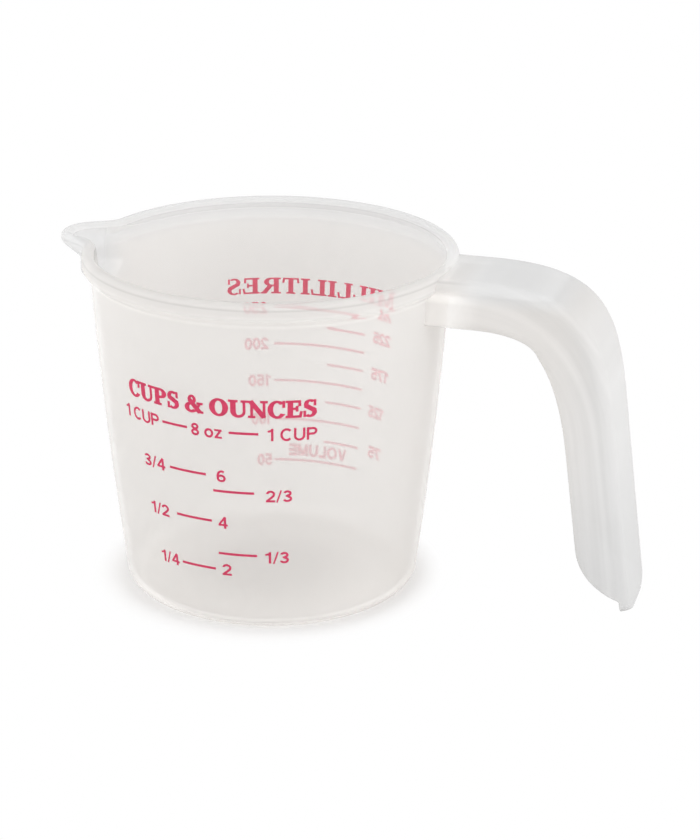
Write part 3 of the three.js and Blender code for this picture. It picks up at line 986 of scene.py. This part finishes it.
# name, text, first and last angle from the middle of the side, height of the middle, cap height
FRONT_LABELS = (
    ("label_cup_1_left", "1 CUP", -34, -18, 53.3, 3.2),
    ("label_oz_8", "8 oz", -5.5, 5, 53.3, 3.2),
    ("label_cup_1_right", "1 CUP", 19.6, 35.6, 53.3, 3.2),
    ("label_cup_3_4", "3/4", -26.6, -17, 41.8, 3.1),
    ("label_oz_6", "6", 2.6, 5.7, 41.8, 3.1),
    ("label_cup_2_3", "2/3", 19, 27.7, 37.1, 3.1),
    ("label_cup_1_2", "1/2", -25.7, -17.2, 29.3, 3.1),
    ("label_oz_4", "4", 2.4, 5.7, 29.3, 3.1),
    ("label_cup_1_3", "1/3", 18.4, 26.9, 20.4, 3.1),
    ("label_cup_1_4", "1/4", -23.2, -14.7, 16.4, 3.1),
    ("label_oz_2", "2", 2.9, 6.3, 16.4, 3.1),
)
BACK_LABELS = (
    ("label_ml_250", "250", 22.6, 30.9, 56.0, 3.1),
    ("label_ml_200", "200", 22.3, 30.9, 46.3, 3.1),
    ("label_ml_150", "150", 21.3, 29.7, 36.2, 3.1),
    ("label_ml_100", "100", 21, 28.9, 25.6, 3.1),
    ("label_ml_50", "50", 21, 26.8, 14.2, 3.1),
    ("label_ml_225", "225", -26.7, -18.7, 51.2, 3.1),
    ("label_ml_175", "175", -27.1, -18.9, 41.3, 3.1),
    ("label_ml_125", "125", -26.2, -18.8, 31.0, 3.1),
    ("label_ml_75", "75", -26.5, -20.2, 20.0, 3.1),
    ("label_ml_unit", "ml", -26, -21, 57.7, 3.0),
)
VOLUME_LABEL = (("label_ml_volume", "VOLUME", -9.8, 14.1, 17.05, 3.1),)
FRONT_HEADING = (("label_heading_front", "CUPS & OUNCES", -31, 35.2, 59.8, 4.15),)
BACK_HEADING = (("label_heading_back", "MILLILITRES", -27.5, 36.8, 62.1, 4.2),)
# labels, side, letters, and the gap between letters and the growth of their strokes in cap heights
PRINTS = (
    (FRONT_LABELS, FRONT, PLAIN, 0.1, 0.0),
    (BACK_LABELS, BACK, PLAIN, 0.1, 0.03),
    (VOLUME_LABEL, BACK, PLAIN, 0.16, 0.042),
    (FRONT_HEADING, FRONT, FINE, 0.05, 0.034),
    (BACK_HEADING, BACK, FINE, 0.05, 0.01),
)
for labels, side, *style in PRINTS:
    for name, text, start, end, z, height in labels:
        label(name, text, side, start, end, z, height, *style)

# ---- Stage, light and camera

CAMERA_AZIMUTH = math.radians(16)
CAMERA_ELEVATION = math.radians(21.34)
CAMERA_DISTANCE = 585.56
CAMERA_TARGET = Vector((18.92, 5.42, 40.71))
CAMERA_ROLL = -0.00809
CAMERA_LENS = 99.73
SENSOR_WIDTH = 36
CLIP = (0.01, 20)

LAMP_AIM = Vector((0.02, 0, 0.04))
# name, place in metres, size and power
LAMPS = (
    ("key", (-0.8, -0.65, 0.55), (0.7, 0.7), 3.8),
    ("fill", (0.98, -0.26, 0.4), (0.8, 0.6), 4.4),
)

# The floor: half its side in millimetres, and how far it lies under the foot in metres
FLOOR_SIZE = 3000
FLOOR_DROP = 0.0001
# Its looks change between distances in metres from the cup's axis, or from the middle named with them
FLOOR_TINT = (0.80, 0.795, 0.79)
CONTACT_REACH = 0.03
CONTACT_SAMPLES = 8
CONTACT_OPEN = (0.4, 1)
CONTACT_SHADE = 0.82
CONTACT_END = (0.06, 0.08)
# white from here on for what sees the floor
WHITE_FROM = (0.0355, 0.0455)
WHITE_MIDDLE = (-0.0010, -0.0003, 0)
# light added for the camera, close to the foot and round it
LIFT_SEEN = (0.396, 0.165)
LIFT_SEEN_EDGE = (0.033, 0.038)
# light added for rays that come through the plastic, under the middle of the floor and under its edge
LIFT_THROUGH = (0.16, 0.57)
LIFT_THROUGH_RISE = (0.008, 0.030)
LIFT_THROUGH_END = (0.032, 0.042)
LIFT_THROUGH_MIDDLE = (-0.0011, 0.0038, 0)
LIFT_THROUGH_SIDES = (0.9, 0.55)
LIFT_SIDE_EDGE = (-0.01, 0.03)
# more of it in a ring under the foot's rounding, in front and behind
RING_START = (0.0320, 0.0332)
RING_END = (0.0345, 0.0370)
RING_LIFT = (0.26, 0.06)
RING_SIDE_EDGE = (-0.03, -0.01)

MAX_BOUNCES = 24
TRANSMISSION_BOUNCES = 20


def make_camera():
    data = bpy.data.cameras.new("camera")
    data.lens = CAMERA_LENS
    data.sensor_width = SENSOR_WIDTH
    data.clip_start, data.clip_end = CLIP
    camera = bpy.data.objects.new("camera", data)
    bpy.context.collection.objects.link(camera)
    level = math.cos(CAMERA_ELEVATION)
    back = Vector((
        math.sin(CAMERA_AZIMUTH) * level,
        -math.cos(CAMERA_AZIMUTH) * level,
        math.sin(CAMERA_ELEVATION),
    ))
    turn = (-back).to_track_quat("-Z", "Y").to_matrix() @ Matrix.Rotation(-CAMERA_ROLL, 3, "Z")
    place = (CAMERA_TARGET + back * CAMERA_DISTANCE) * MM
    camera.matrix_world = Matrix.Translation(place) @ turn.to_4x4()
    bpy.context.scene.camera = camera


def area_light(name, place, size, power):
    data = bpy.data.lights.new(name, "AREA")
    data.shape = "RECTANGLE"
    data.size, data.size_y = size
    data.energy = power
    lamp = bpy.data.objects.new(name, data)
    bpy.context.collection.objects.link(lamp)
    lamp.location = place
    lamp.rotation_mode = "QUATERNION"
    lamp.rotation_quaternion = (LAMP_AIM - Vector(place)).to_track_quat("-Z", "Y")


def seen_through(tree, path):
    """1 for rays that leave a mirror or glass, and 0 for light."""
    return maths(tree, "MAXIMUM", path.outputs["Is Glossy Ray"], path.outputs["Is Transmission Ray"])


def seen(tree, path):
    """1 for rays from the camera, a mirror or glass, and 0 for light."""
    return maths(tree, "MAXIMUM", path.outputs["Is Camera Ray"], seen_through(tree, path))


def make_world():
    """White, as background and as light."""
    world = bpy.data.worlds.new("studio")
    world.use_nodes = True
    tree = world.node_tree
    tree.nodes.clear()
    out = add(tree, "ShaderNodeOutputWorld")
    white = add(tree, "ShaderNodeBackground")
    white.inputs["Color"].default_value = (1, 1, 1, 1)
    white.inputs["Strength"].default_value = 1.0
    tree.links.new(white.outputs[0], out.inputs["Surface"])
    bpy.context.scene.world = world


def distance(tree, place, middle=(0, 0, 0)):
    """How far the place is from a middle."""
    node = add(tree, "ShaderNodeVectorMath", operation="DISTANCE")
    tree.links.new(place, node.inputs[0])
    node.inputs[1].default_value = middle
    return node.outputs["Value"]


def floor_contact(tree, away):
    """The floor's shade where the cup is close."""
    hidden = add(tree, "ShaderNodeAmbientOcclusion", samples=CONTACT_SAMPLES)
    hidden.inputs["Distance"].default_value = CONTACT_REACH
    close = ramp(tree, hidden.outputs["AO"], *CONTACT_OPEN, CONTACT_SHADE, 1)
    return maths(tree, "MAXIMUM", close, ramp(tree, away, *CONTACT_END))


def floor_lift(tree, path, place, away, y):
    """The light added round and under the foot."""
    seen_lift = ramp(tree, away, *LIFT_SEEN_EDGE, *LIFT_SEEN)
    seen_lift = maths(tree, "MULTIPLY", path.outputs["Is Camera Ray"], seen_lift)
    under = ramp(tree, away, *LIFT_THROUGH_RISE, *LIFT_THROUGH)
    edge = distance(tree, place, LIFT_THROUGH_MIDDLE)
    under = maths(tree, "MULTIPLY", under, ramp(tree, edge, *LIFT_THROUGH_END, 1, 0))
    under = maths(tree, "MULTIPLY", under, ramp(tree, y, *LIFT_SIDE_EDGE, *LIFT_THROUGH_SIDES))
    ring = maths(tree, "MULTIPLY", ramp(tree, away, *RING_START), ramp(tree, away, *RING_END, 1, 0))
    ring = maths(tree, "MULTIPLY", ring, ramp(tree, y, *RING_SIDE_EDGE, *RING_LIFT))
    through = maths(tree, "MULTIPLY", seen_through(tree, path), maths(tree, "ADD", under, ring))
    return maths(tree, "ADD", seen_lift, through)


def make_floor():
    """Plain white far from the cup. Round it a pale matt floor, lifted to white, keeps the cup's shadow."""
    material, tree = new_material("floor")
    path = add(tree, "ShaderNodeLightPath")
    place, (_, y, _) = object_place(tree)
    away = distance(tree, place)
    matt = add(tree, "ShaderNodeBsdfDiffuse")
    tree.links.new(scaled(tree, FLOOR_TINT, floor_contact(tree, away)), matt.inputs["Color"])
    glow = add(tree, "ShaderNodeEmission")
    tree.links.new(floor_lift(tree, path, place, away, y), glow.inputs["Strength"])
    near = add(tree, "ShaderNodeAddShader")
    tree.links.new(matt.outputs[0], near.inputs[0])
    tree.links.new(glow.outputs[0], near.inputs[1])
    white = add(tree, "ShaderNodeEmission")
    white.inputs["Strength"].default_value = 1.0
    white_share = ramp(tree, distance(tree, place, WHITE_MIDDLE), *WHITE_FROM)
    surface(tree, mixed(tree, maths(tree, "MULTIPLY", white_share, seen(tree, path)), near, white))
    size = FLOOR_SIZE
    corners = [(-size, -size, 0), (size, -size, 0), (size, size, 0), (-size, size, 0)]
    floor = mesh_piece("floor", corners, [(0, 1, 2, 3)])
    floor.data.materials.append(material)
    floor.location.z = -FLOOR_DROP


make_camera()
make_world()
make_floor()
for lamp in LAMPS:
    area_light(*lamp)

scene = bpy.context.scene
scene.view_settings.view_transform = "Standard"
scene.cycles.max_bounces = MAX_BOUNCES
scene.cycles.transmission_bounces = TRANSMISSION_BOUNCES
scene.cycles.transparent_max_bounces = MAX_BOUNCES
